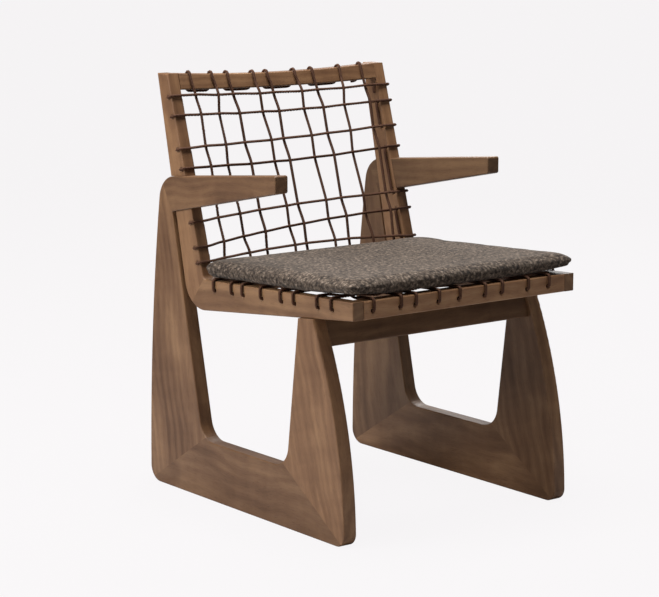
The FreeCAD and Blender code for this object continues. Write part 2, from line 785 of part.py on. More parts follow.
top_hole_y = back_top_front.y + dim("top_hole_inset")
top_hole_mouths = []
for x in back_top_x:
    upper = Vector(x, top_hole_y.value, dim("height").value - hang(hollow, x))
    lower = Vector(x, top_hole_y.value, rail_low_z.value - hang(belly, x))
    top_hole_mouths.append((upper, lower))
front_hole_z = dim("seat_front_height") - dim("seat_hole_depth")
front_hole_front = Spot(front_y, front_hole_z)
front_hole_rear = Spot(front_rail_rear, front_hole_z)
rear_thickness = rear_rail_across.y * into_back.y + rear_rail_across.z * into_back.z
rear_back_front = corner + back_down * dim("rear_back_hole")
rear_back_rear = rear_back_front + into_back * rear_thickness
rear_depth = -(rear_rail_down.y * seat_up.y + rear_rail_down.z * seat_up.z)
rear_seat_top = corner + seat_back * dim("rear_seat_hole")
rear_seat_low = rear_seat_top - seat_up * rear_depth

top_bores = cross_rail("top_rail", top_rail_spots, top_hole_mouths, top_rail_board, top_rail_cuts)
front_bores = cross_rail(
    "front_rail", front_rail_spots, [(front_hole_front.at(x), front_hole_rear.at(x)) for x in seat_long_x]
)
rear_bores = cross_rail(
    "rear_rail",
    rear_rail_spots,
    [(rear_back_front.at(x), rear_back_rear.at(x)) for x in back_low_x]
    + [(rear_seat_top.at(x), rear_seat_low.at(x)) for x in seat_long_x],
)

# Stiles and seat rails
frame_spots = [seat_low_front, seat_top_front, corner, back_top_front, back_top_rear, elbow]
corner_in = past(elbow, corner, 2 * MITRE_OVERRUN)
elbow_out = past(corner, elbow, 2 * MITRE_OVERRUN)
behind_stile = back_top_rear.y + dim("stile_top_depth")
above_stile = dim("height") + dim("stile_top_depth")
before_seat = front_y - dim("seat_front_depth")
frame_zones = {
    "stile": [
        corner_in,
        elbow_out,
        Spot(behind_stile, elbow_out.z),
        Spot(behind_stile, above_stile),
        Spot(corner_in.y, above_stile),
    ],
    "seat_rail": [corner_in, Spot(before_seat, corner_in.z), Spot(before_seat, elbow_out.z), elbow_out],
}
for side, sign in (("left", -1), ("right", 1)):
    thickness = dim("member_width")
    x_from = -member_outer if sign < 0 else member_inner
    blank = board(f"{side}_frame_blank", frame_spots, x_from, thickness)
    round_corners(
        blank,
        f"{side}_frame",
        [("elbow", elbow, dim("elbow_radius")), ("corner", corner, dim("corner_radius"))],
    )
    ease_board(blank, f"{side}_frame", thickness)

    cover = dim("corner_tenon_cover")
    if sign < 0:
        tenon_x = x_from + cover
    else:
        tenon_x = x_from + thickness - cover - dim("corner_tenon_thickness")
    mortise = tenon_and_mortise(
        f"{side}_corner_tenon",
        (corner, elbow, CORNER_TENON_SHARE),
        dim("corner_tenon_width"),
        dim("corner_tenon_length"),
        tenon_x,
        dim("corner_tenon_thickness"),
    )
    inside, outside = sign * inner_x, sign * outer_x
    stations = left_stations if sign < 0 else right_stations
    holes = {"stile": [], "seat_rail": []}
    for down in stations:
        holes["stile"].append((on_back(inside, down, stile_hole), on_back(outside, down, stile_hole)))
    for back in seat_stations:
        holes["seat_rail"].append((on_seat(inside, back, -seat_hole), on_seat(outside, back, -seat_hole)))
    cuts = {
        "stile": [mortise, stile_notches[side]] + top_bores[side] + rear_bores[side],
        "seat_rail": [mortise] + front_bores[side] + rear_bores[side] + leg_bores[side],
    }
    for name, spots in frame_zones.items():
        label = f"{side}_{name}"
        zone = board(label + "_zone", spots, x_from, thickness)
        drills = lacing_holes(label + "_holes", holes[name])
        keep(label, cut(label, common(label + "_blank", blank, zone), cuts[name] + [drills]))


# Lacing cords
def cord(label, points):
    """One unbroken cord along its points, each given with the radius of its turn there."""
    edges = []
    here = points[0][0]
    for (before, _), (point, radius), (after, _) in zip(points, points[1:], points[2:]):
        arriving = (point - before).normalize()
        leaving = (after - point).normalize()
        turn = arriving.getAngle(leaving)
        room = TURN_SHARE * min((point - before).Length, (after - point).Length)
        reach = min(radius * math.tan(turn / 2), room)
        radius = reach / math.tan(turn / 2)
        start = point - arriving * reach
        end = point + leaving * reach
        toward_centre = (leaving - arriving).normalize()
        middle = point + toward_centre * radius * (1 / math.cos(turn / 2) - 1)
        edges.append(Part.LineSegment(here, start).toShape())
        edges.append(Part.Arc(start, middle, end).toShape())
        here = end
    edges.append(Part.LineSegment(here, points[-1][0]).toShape())
    path = Part.Wire(edges)
    first_way = points[1][0] - points[0][0]
    section = Part.Wire(Part.makeCircle(cord_radius, points[0][0], first_way))
    tube = doc.addObject("Part::Feature", label)
    tube.Shape = path.makePipeShell([section], True, False)
    share = tube.Shape.Volume / (math.pi * cord_radius**2 * path.Length)
    print(f"{label}: {path.Length / 1000:.2f} m, volume {share:.4f} of section times length")
    keep(label, tube)


def lace(label, runs, tail_start, tail_end):
    """Joins runs into one cord, turning every other run round, with a loose tail at either end."""
    points = [(tail_start, 0)]
    for number, run in enumerate(runs):
        points += run if number % 2 == 0 else run[::-1]
    points.append((tail_end, 0))
    cord(label, points)


bend = dim("cord_bend").value
ramp = dim("cord_ramp").value
tail = dim("cord_tail").value

# Across the back: from the right stile's hole, round its outer edge, over the front, the same on the left
cross_back = []
for right, left in zip(right_stations, left_stations):
    cross_back.append(
        [
            (on_back(inner_x - cord_off, right, stile_hole), bend),
            (on_back(outer_x + cord_off, right, stile_hole), bend),
            (on_back(outer_x + cord_off, right, -cord_off), bend),
            (on_back(-outer_x - cord_off, left, -cord_off), bend),
            (on_back(-outer_x - cord_off, left, stile_hole), bend),
            (on_back(-inner_x + cord_off, left, stile_hole), bend),
        ]
    )
lace(
    "back_cross_cord",
    cross_back,
    on_back(inner_x - cord_off, right_stations[0] + tail, stile_hole),
    on_back(-inner_x + cord_off, left_stations[-1] - tail, stile_hole),
)

# Across the seat, in the same way over the two seat rails
cross_seat = []
for back in seat_stations:
    cross_seat.append(
        [
            (on_seat(inner_x - cord_off, back, -seat_hole), bend),
            (on_seat(outer_x + cord_off, back, -seat_hole), bend),
            (on_seat(outer_x + cord_off, back, cord_off), bend),
            (on_seat(-outer_x - cord_off, back, cord_off), bend),
            (on_seat(-outer_x - cord_off, back, -seat_hole), bend),
            (on_seat(-inner_x + cord_off, back, -seat_hole), bend),
        ]
    )
lace(
    "seat_cross_cord",
    cross_seat,
    on_seat(inner_x - cord_off, seat_stations[0] + tail, -seat_hole),
    on_seat(inner_x - cord_off, seat_stations[-1] - tail, -seat_hole),
)

# Down the back: behind the rear rail, up in front of the cross cords, over the top rail and through it
first_cross = min(left_stations[0], right_stations[0])
last_cross = max(left_stations[-1], right_stations[-1])
settle = 2 * dim("cord_diameter").value
leave_rail = min(dim("top_rail_height").value, first_cross - settle) - settle
rear_hole = dim("rear_back_hole").value
rear_face = rear_thickness.value
over_edge_z = dim("height").value + cord_off
edge_spot = back_top_front + into_back * -cord_off
edge_down = (edge_spot.z.value - over_edge_z) / -back_down.z.value


def under_top_rail(x):
    """The middle of a cord that lies under the top rail, in line with its holes."""
    return Vector(x, top_hole_y.value, rail_low_z.value - hang(belly, x) - cord_off)


long_back = []
for top_x, low_x in zip(back_top_x, back_low_x):
    dip = hang(hollow, top_x)
    over_edge = edge_down - dip / back_down.z.value
    long_back.append(
        [
            (on_back(low_x, down_length + rear_hole, rear_face + cord_off), bend),
            (on_back(low_x, down_length + rear_hole, -cord_off), bend),
            (on_back(low_x, down_length, -cord_off), ramp),
            (on_back(low_x, last_cross + settle, -layer_off), ramp),
            (on_back(top_x, first_cross - settle, -layer_off), ramp),
            (on_back(top_x, leave_rail, -cord_off), ramp),
            (on_back(top_x, over_edge, -cord_off), bend),
            (Vector(top_x, top_hole_y.value, over_edge_z - dip), bend),
            (under_top_rail(top_x), bend),
        ]
    )
lace(
    "back_long_cord",
    long_back,
    on_back(back_low_x[0] + tail, down_length + rear_hole, rear_face + cord_off),
    under_top_rail(back_top_x[-1] - tail),
)

# Along the seat: under the rear rail, up through it, forward over the cross cords and round the front rail
rear_drop = rear_depth.value
seat_hole_back = seat_length + dim("rear_seat_hole").value
front_cord_y = front_y.value - cord_off
front_edge_z = on_seat(0, -cord_off, cord_off).z
long_seat = []
for x in seat_long_x:
    long_seat.append(
        [
            (on_seat(x, seat_hole_back, -rear_drop - cord_off), bend),
            (on_seat(x, seat_hole_back, cord_off), bend),
            (on_seat(x, seat_length, cord_off), ramp),
            (on_seat(x, seat_stations[-1] + settle, layer_off), ramp),
            (on_seat(x, seat_stations[0] - settle, layer_off), ramp),
            (on_seat(x, dim("front_rail_depth").value, cord_off), ramp),
            (Vector(x, front_cord_y, front_edge_z), bend),
            (Vector(x, front_cord_y, front_hole_z.value), bend),
            (Vector(x, front_rail_rear.value + cord_off, front_hole_z.value), bend),
        ]
    )
lace(
    "seat_long_cord",
    long_seat,
    on_seat(seat_long_x[0] + tail, seat_hole_back, -rear_drop - cord_off),
    Vector(seat_long_x[-1] - tail, front_rail_rear.value + cord_off, front_hole_z.value),
)

# Seat cushion: each section is a rectangle with round corners and sides that pull in
cushion_front = dim("cushion_front_gap").value
cushion_rear = seat_length - dim("cushion_rear_gap").value
cushion_half_width = outer_x - dim("cushion_side_gap").value
cushion_half_length = (cushion_rear - cushion_front) / 2
cushion_base = layer_off + cord_radius + dim("cushion_rest_gap").value


def cushion_section(inset, z):
    half_x = cushion_half_width - inset
    half_y = cushion_half_length - inset
    radius = dim("cushion_corner").value
    draw = dim("cushion_draw").value
    diagonal = radius * (1 - math.sqrt(0.5))
    edges = []
    for turn in range(4):
        along, across = (half_y, half_x) if turn % 2 == 0 else (half_x, half_y)
        side = [
            Vector(across, radius - along, z),
            Vector(across - draw, 0, z),
            Vector(across, along - radius, z),
        ]
        rounding = [
            Vector(across, along - radius, z),
            Vector(across - diagonal, along - diagonal, z),
            Vector(across - radius, along, z),
        ]
        spin = FreeCAD.Rotation(Vector(0, 0, 1), 90 * turn)
        for three in (side, rounding):
            edges.append(Part.Arc(*[spin.multVec(p) for p in three]).toShape())
    return Part.Wire(edges)


def cushion_pad(inset):
    """The cushion's form, or the same form further in: full sides, tucked edges and a crowned top."""
    low = inset
    high = dim("cushion_edge").value - inset
    crown = dim("cushion_crown").value
    seam = inset + dim("cushion_tuck").value
    reach = min(cushion_half_width, cushion_half_length) - dim("cushion_corner").value - seam
    sides = [(seam, low), (inset, (low + high) / 2), (seam, high)]
    top = [(seam, high), (seam + reach / 3, high + 3 * crown / 4), (seam + 2 * reach / 3, high + crown)]
    lofts = [Part.makeLoft([cushion_section(*s) for s in part], True, False) for part in (sides, top)]
    return lofts[0].fuse(lofts[1]).removeSplitter()


cushion_middle = seat_top_front + seat_back * ((cushion_front + cushion_rear) / 2) + seat_up * cushion_base
cushion_tilt = math.degrees(math.atan2(seat_back.z.value, seat_back.y.value))
cushion_place = FreeCAD.Placement(cushion_middle.at(0), FreeCAD.Rotation(Vector(1, 0, 0), cushion_tilt))
cover_inside = dim("cover_thickness").value
for label, form in (
    ("cushion_cover", cushion_pad(0).cut(cushion_pad(cover_inside))),
    ("cushion_foam", cushion_pad(cover_inside + dim("foam_gap").value)),
):
    pad = doc.addObject("Part::Feature", label)
    pad.Shape = form
    pad.Placement = cushion_place
    keep(label, pad)

doc.recompute()

# Nothing is written unless every object and every sub-part is sound.
for thing in doc.Objects:
    if "Invalid" in thing.State or "Error" in thing.State:
        raise RuntimeError(f"{thing.Label} failed: {thing.State}")
for label, piece in subparts.items():
    if piece.Shape.isNull() or not piece.Shape.isValid() or not piece.Shape.Solids:
        raise RuntimeError(f"{label} has no sound shape")

os.makedirs("parts", exist_ok=True)
for label, piece in subparts.items():
    piece.Shape.exportStep(f"parts/{label}.step")
    print(label, len(piece.Shape.Solids), "solids", round(piece.Shape.Volume / 1000, 2), "cm3")
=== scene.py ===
"""Looks of the laced wooden armchair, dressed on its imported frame. Metres; +Y is the back, +Z is up."""

import math

import bmesh
import bpy
from mathutils import Matrix, Vector


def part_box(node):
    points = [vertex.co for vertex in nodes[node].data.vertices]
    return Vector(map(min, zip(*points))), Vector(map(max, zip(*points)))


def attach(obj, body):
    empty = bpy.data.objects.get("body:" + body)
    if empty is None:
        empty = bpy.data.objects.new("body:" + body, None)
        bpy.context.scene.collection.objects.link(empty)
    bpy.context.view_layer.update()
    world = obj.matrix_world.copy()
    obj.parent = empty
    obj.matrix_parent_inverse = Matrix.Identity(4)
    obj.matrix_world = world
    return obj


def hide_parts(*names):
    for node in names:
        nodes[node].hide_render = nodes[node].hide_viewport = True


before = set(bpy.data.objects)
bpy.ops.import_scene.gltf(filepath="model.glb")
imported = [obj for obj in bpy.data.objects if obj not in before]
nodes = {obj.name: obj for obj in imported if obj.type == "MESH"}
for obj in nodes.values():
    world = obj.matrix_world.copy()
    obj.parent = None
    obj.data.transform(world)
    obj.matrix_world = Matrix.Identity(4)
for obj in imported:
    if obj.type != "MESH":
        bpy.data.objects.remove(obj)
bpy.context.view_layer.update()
scene = bpy.context.scene


# Materials
DARK_GRAIN = "#573B27"
MIDDLE_GRAIN = "#715239"
PALE_GRAIN = "#8A694B"
RING_GAP = 0.016
GRAIN_SWAY = 0.035


def linear(hex_code):
    """An sRGB hex value as a linear colour."""
    shares = [int(hex_code[i : i + 2], 16) / 255 for i in (1, 3, 5)]
    return [s / 12.92 if s <= 0.04045 else ((s + 0.055) / 1.055) ** 2.4 for s in shares] + [1.0]


def add(tree, kind, settings=None, inputs=None, stops=None):
    """A new node with its settings, its input values or links, and its ramp's stops."""
    made = tree.nodes.new(kind)
    for field, value in (settings or {}).items():
        setattr(made, field, value)
    for name, value in (inputs or {}).items():
        if isinstance(value, bpy.types.NodeSocket):
            tree.links.new(value, made.inputs[name])
        else:
            made.inputs[name].default_value = value
    for number, (place, hex_code) in enumerate(stops or []):
        elements = made.color_ramp.elements
        stop = elements[number] if number < 2 else elements.new(place)
        stop.position = place
        stop.color = linear(hex_code)
    return made


def new_material(name):
    material = bpy.data.materials.new(name)
    material.use_nodes = True
    material.node_tree.nodes.clear()
    return material, material.node_tree


def per_metre(millimetres):
    """A noise scale whose features are about this wide."""
    return 1000.0 / millimetres


def walnut(name, turn, shift, tone=1.0):
    """Oiled walnut, planed and sanded: brown, with broad soft streaks along the grain, faint growth rings,
    a little ripple across it, fine open pores and a satin sheen. turn brings the board's grain on to Y."""
    material, tree = new_material(name)
    place = add(tree, "ShaderNodeTexCoord")
    turned = add(
        tree,
        "ShaderNodeMapping",
        {"vector_type": "POINT"},
        {"Vector": place.outputs["Object"], "Rotation": turn, "Location": shift},
    )
    # The grain wanders a little from side to side on its way along the board
    wander = add(
        tree,
        "ShaderNodeTexNoise",
        {},
        {"Vector": turned.outputs["Vector"], "Scale": per_metre(170), "Detail": 1.0},
    )
    swayed = add(
        tree,
        "ShaderNodeVectorMath",
        {"operation": "MULTIPLY_ADD"},
        {0: wander.outputs["Color"], 1: (GRAIN_SWAY, 0.0, GRAIN_SWAY), 2: turned.outputs["Vector"]},
    )
    drawn_out = add(
        tree, "ShaderNodeMapping", {}, {"Vector": swayed.outputs["Vector"], "Scale": (1, 0.07, 1)}
    )
    broad = add(tree, "ShaderNodeMapping", {}, {"Vector": swayed.outputs["Vector"], "Scale": (1, 0.22, 1)})
    clouds = add(
        tree,
        "ShaderNodeTexNoise",
        {},
        {"Vector": broad.outputs["Vector"], "Scale": per_metre(62), "Detail": 2.0, "Distortion": 0.9},
    )
    streaks = add(
        tree,
        "ShaderNodeTexNoise",
        {},
        {"Vector": drawn_out.outputs["Vector"], "Scale": per_metre(11), "Detail": 3.0, "Roughness": 0.55},
    )
    fibres = add(
        tree,
        "ShaderNodeTexNoise",
        {},
        {"Vector": drawn_out.outputs["Vector"], "Scale": per_metre(2.5), "Detail": 2.0, "Roughness": 0.6},
    )
    # Growth rings a ring gap apart: the wave's period is a turn over twenty times its scale
    rings = add(
        tree,
        "ShaderNodeTexWave",
        {"wave_type": "RINGS", "rings_direction": "Y", "wave_profile": "SIN"},
        {
            "Vector": drawn_out.outputs["Vector"],
            "Scale": 2 * math.pi / (20 * RING_GAP),
            "Distortion": 9.0,
            "Detail": 2.0,
            "Detail Scale": 0.5,
        },
    )
    # Ripple runs across the grain, in patches
    rippled = add(
        tree, "ShaderNodeMapping", {}, {"Vector": turned.outputs["Vector"], "Scale": (0.3, 1, 0.3)}
    )
    ripple = add(
        tree,
        "ShaderNodeTexNoise",
        {},
        {"Vector": rippled.outputs["Vector"], "Scale": per_metre(30), "Detail": 1.0, "Distortion": 0.5},
    )
    # The figure is mostly clouds, with a share of each other pattern
    grain = clouds.outputs["Fac"]
    for pattern, share in ((streaks, 0.26), (rings, 0.09), (fibres, 0.13), (ripple, 0.1)):
        mixed = add(tree, "ShaderNodeMix", {}, {0: share, 2: grain, 3: pattern.outputs["Fac"]})
        grain = mixed.outputs[0]
    hues = add(
        tree,
        "ShaderNodeValToRGB",
        {},
        {"Fac": grain},
        [(0.32, DARK_GRAIN), (0.68, PALE_GRAIN), (0.5, MIDDLE_GRAIN)],
    )
    # Pores are finer than this in life, and are drawn 1.2 mm wide so that they show
    pores = add(
        tree,
        "ShaderNodeTexNoise",
        {},
        {"Vector": drawn_out.outputs["Vector"], "Scale": per_metre(1.2), "Detail": 2.0, "Roughness": 0.7},
    )
    open_pores = add(
        tree,
        "ShaderNodeValToRGB",
        {},
        {"Fac": pores.outputs["Fac"]},
        [(0.3, "#B5ACA6"), (0.44, "#FFFFFF")],
    )
    pored = add(
        tree,
        "ShaderNodeMix",
        {"data_type": "RGBA", "blend_type": "MULTIPLY"},
        {0: 0.5, 6: hues.outputs["Color"], 7: open_pores.outputs["Color"]},
    )
    # End grain drinks more oil, so it is darker
    facing = add(
        tree,
        "ShaderNodeVectorRotate",
        {"rotation_type": "EULER_XYZ"},
        {"Vector": place.outputs["Normal"], "Rotation": turn},
    )
    parts = add(tree, "ShaderNodeSeparateXYZ", {}, {0: facing.outputs["Vector"]})
    along = add(tree, "ShaderNodeMath", {"operation": "ABSOLUTE"}, {0: parts.outputs["Y"]})
    end_grain = add(
        tree,
        "ShaderNodeMapRange",
        {},
        {"Value": along.outputs[0], "From Min": 0.75, "From Max": 0.95, "To Max": 0.2},
    )
    finish = add(
        tree,
        "ShaderNodeMix",
        {"data_type": "RGBA", "blend_type": "MULTIPLY"},
        {0: end_grain.outputs[0], 6: pored.outputs[2], 7: linear("#8F8A84")},
    )
    toned = add(
        tree,
        "ShaderNodeHueSaturation",
        {},
        {"Color": finish.outputs[2], "Value": tone},
    )
    satin = add(
        tree,
        "ShaderNodeMapRange",
        {},
        {"Value": grain, "From Min": 0.35, "From Max": 0.65, "To Min": 0.5, "To Max": 0.4},
    )
    relief = add(
        tree,
        "ShaderNodeBump",
        {},
        {"Strength": 0.2, "Distance": 0.0004, "Height": pores.outputs["Fac"]},
    )
    shader = add(
        tree,
        "ShaderNodeBsdfPrincipled",
        {},
        {
            "Base Color": toned.outputs["Color"],
            "Roughness": satin.outputs[0],
            "IOR": 1.5,
            "Specular IOR Level": 0.3,
            "Normal": relief.outputs["Normal"],
        },
    )
    add(tree, "ShaderNodeOutputMaterial", {}, {"Surface": shader.outputs["BSDF"]})
    return material


def beech(name):
    """Raw beech of the hidden tenons and dowels: pale, with short darker flecks."""
    material, tree = new_material(name)
    place = add(tree, "ShaderNodeTexCoord")
    flecks = add(
        tree,
        "ShaderNodeTexNoise",
        {},
        {"Vector": place.outputs["Object"], "Scale": per_metre(3), "Detail": 3.0},
    )
    hues = add(
        tree,
        "ShaderNodeValToRGB",
        {},
        {"Fac": flecks.outputs["Fac"]},
        [(0.35, "#B08A66"), (0.65, "#CBA982")],
    )
    shader = add(
        tree, "ShaderNodeBsdfPrincipled", {}, {"Base Color": hues.outputs["Color"], "Roughness": 0.7}
    )
    add(tree, "ShaderNodeOutputMaterial", {}, {"Surface": shader.outputs["BSDF"]})
    return material


def waxed_cord(name):
    """Waxed cotton cord, twisted: dark brown and matt, with lighter fibres on the strands."""
    material, tree = new_material(name)
    place = add(tree, "ShaderNodeTexCoord")
    fibres = add(
        tree,
        "ShaderNodeTexNoise",
        {},
        {"Vector": place.outputs["Object"], "Scale": per_metre(1.5), "Detail": 3.0, "Roughness": 0.7},
    )
    hues = add(
        tree,
        "ShaderNodeValToRGB",
        {},
        {"Fac": fibres.outputs["Fac"]},
        [(0.3, "#3A2418"), (0.75, "#5E3E2C")],
    )
    relief = add(
        tree,
        "ShaderNodeBump",
        {},
        {"Strength": 0.4, "Distance": 0.0004, "Height": fibres.outputs["Fac"]},
    )
    shader = add(
        tree,
        "ShaderNodeBsdfPrincipled",
        {},
        {
            "Base Color": hues.outputs["Color"],
            "Roughness": 0.8,
            "Specular IOR Level": 0.25,
            "Normal": relief.outputs["Normal"],
        },
    )
    add(tree, "ShaderNodeOutputMaterial", {}, {"Surface": shader.outputs["BSDF"]})
    return material


def tweed(name):
    """Knotted wool tweed, woven from curled yarn: grey-brown, flecked light and dark, matt, with small
    loops that stand off the cloth, and painted shade in the hollows between the loops."""
    material, tree = new_material(name)
    place = add(tree, "ShaderNodeTexCoord")
    loops = add(
        tree,
        "ShaderNodeTexVoronoi",
        {"feature": "SMOOTH_F1"},
        {"Vector": place.outputs["Object"], "Scale": per_metre(5.5), "Smoothness": 0.5, "Randomness": 1.0},
    )
    flecks = add(
        tree,
        "ShaderNodeTexNoise",
        {},
        {"Vector": place.outputs["Object"], "Scale": per_metre(6), "Detail": 2.0, "Roughness": 0.7},
    )
    clouds = add(
        tree,
        "ShaderNodeTexNoise",
        {},
        {"Vector": place.outputs["Object"], "Scale": per_metre(45), "Detail": 2.0},
    )
    yarn = add(
        tree,
        "ShaderNodeValToRGB",
        {},
        {"Fac": flecks.outputs["Fac"]},
        [(0.34, "#32271F"), (0.68, "#8E7E70"), (0.45, "#54473C"), (0.56, "#685A4D")],
    )
    # Painted shade: the cloth is drawn darker in the hollows between the loops, away from their middles
    painted_shade_between_loops = add(
        tree,
        "ShaderNodeValToRGB",
        {},
        {"Fac": loops.outputs["Distance"]},
        [(0.2, "#FFFFFF"), (0.75, "#59504A")],
    )
    yarn_and_painted_shade = add(
        tree,
        "ShaderNodeMix",
        {"data_type": "RGBA", "blend_type": "MULTIPLY"},
        {0: 0.75, 6: yarn.outputs["Color"], 7: painted_shade_between_loops.outputs["Color"]},
    )
    shade = add(
        tree,
        "ShaderNodeMapRange",
        {},
        {"Value": clouds.outputs["Fac"], "From Min": 0.3, "From Max": 0.7, "To Min": 0.9, "To Max": 1.1},
    )
    toned = add(
        tree,
        "ShaderNodeHueSaturation",
        {},
        {"Color": yarn_and_painted_shade.outputs[2], "Value": shade.outputs[0]},
    )
    height = add(
        tree,
        "ShaderNodeMath",
        {"operation": "SUBTRACT"},
        {0: flecks.outputs["Fac"], 1: loops.outputs["Distance"]},
    )
    relief = add(
        tree,
        "ShaderNodeBump",
        {},
        {"Strength": 1.0, "Distance": 0.001, "Height": height.outputs[0]},
    )
    shader = add(
        tree,
        "ShaderNodeBsdfPrincipled",
        {},
        {
            "Base Color": toned.outputs["Color"],
            "Roughness": 0.95,
            "Specular IOR Level": 0.15,
            "Sheen Weight": 0.08,
            "Sheen Roughness": 0.6,
            "Normal": relief.outputs["Normal"],
        },
    )
    add(tree, "ShaderNodeOutputMaterial", {}, {"Surface": shader.outputs["BSDF"]})
    return material


# Boards: how far each one's grain rises from front to back, in degrees, where it was cut from the tree, in
# metres, and how light the left and the right one are
GRAIN = {
    "rear_leg": (82.0, (0.11, 0.30, 0.02), (1.02, 0.74)),
    "runner": (0.0, (0.06, 0.10, 0.05), (0.93, 1.08)),
    "front_leg": (75.0, (0.09, 0.62, 0.07), (1.22, 1.06)),
    "arm": (-6.0, (0.05, 0.90, 0.03), (0.9, 0.68)),
    "stile": (73.5, (0.04, 1.30, 0.06), (1.22, 1.28)),
    "seat_rail": (-3.0, (0.07, 1.70, 0.04), (1.04, 1.0)),
}
# Boards that run from side to side: where each one was cut from the tree, and how light it is
CROSS_BOARDS = {
    "top_rail": ((0.05, 2.1, 0.03), 1.14),
    "front_rail": ((0.08, 2.5, 0.06), 1.55),
    "rear_rail": ((0.04, 2.9, 0.05), 1.0),
    "front_stretcher": ((0.07, 3.3, 0.02), 0.82),
}


def dress(node, material):
    """Gives a board, tenon or dowel group its material."""
    piece = nodes[node]
    piece.data.materials.clear()
    piece.data.materials.append(material)


for number, (side, apart) in enumerate((("left", 0.0), ("right", 5.0))):
    for board, (rise, cut, tones) in GRAIN.items():
        shift = (cut[0], cut[1] + apart, cut[2])
        turn = (-math.radians(rise), 0, 0)
        dress(f"{side}_{board}", walnut(f"walnut_{side}_{board}", turn, shift, tones[number]))
for board, (cut, tone) in CROSS_BOARDS.items():
    turn = (0, 0, math.radians(90))
    dress(board, walnut(f"walnut_{board}", turn, cut, tone))
raw_beech = beech("raw_beech")
for node in nodes:
    if node.endswith("_tenon") or node.endswith("_dowels"):
        dress(node, raw_beech)

# Lacing: four cords, each one unbroken line in millimetres. Their routes repeat those of the part's source,
# with the weave, the bows and the slack of the photographed cords.
MM = 0.001
# The back's front face, from the Y and Z of its top edge, and the seat's top face, from its front edge
BACK_TOP = (245.25, 780.0)
BACK_LEAN = math.radians(16.54)
BACK_LENGTH = 384.7
SEAT_FRONT = (-306.95, 430.2)
SEAT_FALL = math.radians(2.453)
SEAT_LENGTH = 443.1
# Inner and outer faces of the stiles and the seat rails, from the chair's middle
INNER = 231.0
OUTER = 255.0
# Cross cords of the back: how far down they lie on either stile, and how far they bow down between them
LEFT_DOWN = (42, 79, 141, 178, 278, 325, 353)
RIGHT_DOWN = (44, 76, 126, 168, 259, 292, 348)
BOWS = (5, 6, 3, 6, -5, -7, -10)
# Long cords of the back: X at the top rail, at the first cross cord and at the rear rail, and how far they
# bow to the right
TOP_X = (-208, -159, -123.5, -64, -32.5, 32.5, 75, 142, 195)
NET_X = (-205, -152, -121, -63, -26, 38, 77, 142, 196)
LOW_X = (-203, -144, -105, -42, -10, 55, 90, 149, 200)
LONG_BOWS = (4, -10, 5, 3, 0, -1, 5, -7, 3)
# Cords of the seat: X of the long ones, and the way of the cross ones back from the front edge
SEAT_X = (-212, -152, -119, -67, -20, 39, 79, 141, 191)
SEAT_WAYS = (58, 98, 165, 203, 262, 318, 352, 407)
# How far the cushion holds the seat's net down, and how far the long cord by the left rail bows inwards
SEAT_SINK = 5.7
SEAT_BOW = 24.0
# How far a cord's middle lies off the wood, and its depths at a crossing, under and over the other cord
ON_WOOD = 3.05
UNDER = -3.1
OVER = -8.75
# How far a point lies from an edge that the cord goes round, and from the other point at a crossing
NEAR = 9.0
# Depths of the holes in the stiles and seat rails, and places of the holes in the other rails
STILE_HOLE = 10.0
SEAT_HOLE = 18.0
REAR_HOLE_DOWN = 17.0
REAR_HOLE_BACK = 20.0
TOP_HOLE_Y = 253.25
FRONT_HOLE_Z = 412.2
# Thickness of the rear rail, the back of the front rail, and the top rail's underside at its ends
REAR_RAIL = 33.0
FRONT_RAIL_REAR = -276.95
TOP_RAIL_LOW = 750.0
# How far the top rail's upper and lower edges hang down in the middle
TOP_RAIL_HOLLOW = 7.0
TOP_RAIL_BELLY = 4.0
# Where the long cords come on to the top rail and the front rail, and their rise over the top rail's edge
TOP_LEAD = 28.0
FRONT_LEAD = 30.0
TOP_RISE = 4.0
# How far the loops from run to run sag, where each one's two points are, and the length of the loose ends
TAUT = 0.0
SNUG = 0.3
SLACK = 3.0
LOOP_SHARES = (0.3, 0.7)
TAIL = 14.0
# Points of one strand's outline, by radius and angle, the count of strands, the length of a full twist, and
# the steps from one point of the route to the next
STRAND_RADII = (1.9, 2.7, 2.7)
STRAND_ANGLES = (0, 34, 86)
STRANDS = 3
STRAND_LAY = 20.0
CORD_STEPS = 14


def arch(share):
    """How much of a bow there is along a cord: none at its ends, all of it in the middle."""
    return 4 * share * (1 - share)


def hang(x):
    """How much of a bow there is from side to side: none at the inner faces, all of it in the middle."""
    return 1 - (x / INNER) ** 2


def on_back(x, down, into):
    """A point by its way down the front of the back, and by its depth into the stile."""
    y = BACK_TOP[0] - down * math.sin(BACK_LEAN) + into * math.cos(BACK_LEAN)
    z = BACK_TOP[1] - down * math.cos(BACK_LEAN) - into * math.sin(BACK_LEAN)
    return Vector((x, y, z))


def on_seat(x, back, into):
    """A point by its way back along the top of the seat, and by its depth into the rail."""
    y = SEAT_FRONT[0] + back * math.cos(SEAT_FALL) - into * math.sin(SEAT_FALL)
    z = SEAT_FRONT[1] - back * math.sin(SEAT_FALL) - into * math.cos(SEAT_FALL)
    return Vector((x, y, z))


def on_seat_net(x, back, into):
    """A point of the seat's net, which the cushion holds down to the level of the rails."""
    return on_seat(x, back, into + SEAT_SINK)


def back_crossing(long, cross):
    """Where two cords of the back cross: the long ones lean, and all of them bow. The place of each depends
    on the other, and three rounds bring the two together."""
    x = NET_X[long]
    for _ in range(3):
        span = (x + OUTER) / (2 * OUTER)
        fall = (RIGHT_DOWN[cross] - LEFT_DOWN[cross]) * span
        down = LEFT_DOWN[cross] + fall + BOWS[cross] * hang(x)
        lean = (down - LEFT_DOWN[0]) / (LEFT_DOWN[-1] - LEFT_DOWN[0])
        x = NET_X[long] + (LOW_X[long] - NET_X[long]) * lean + LONG_BOWS[long] * arch(down / BACK_LENGTH)
    return x, down


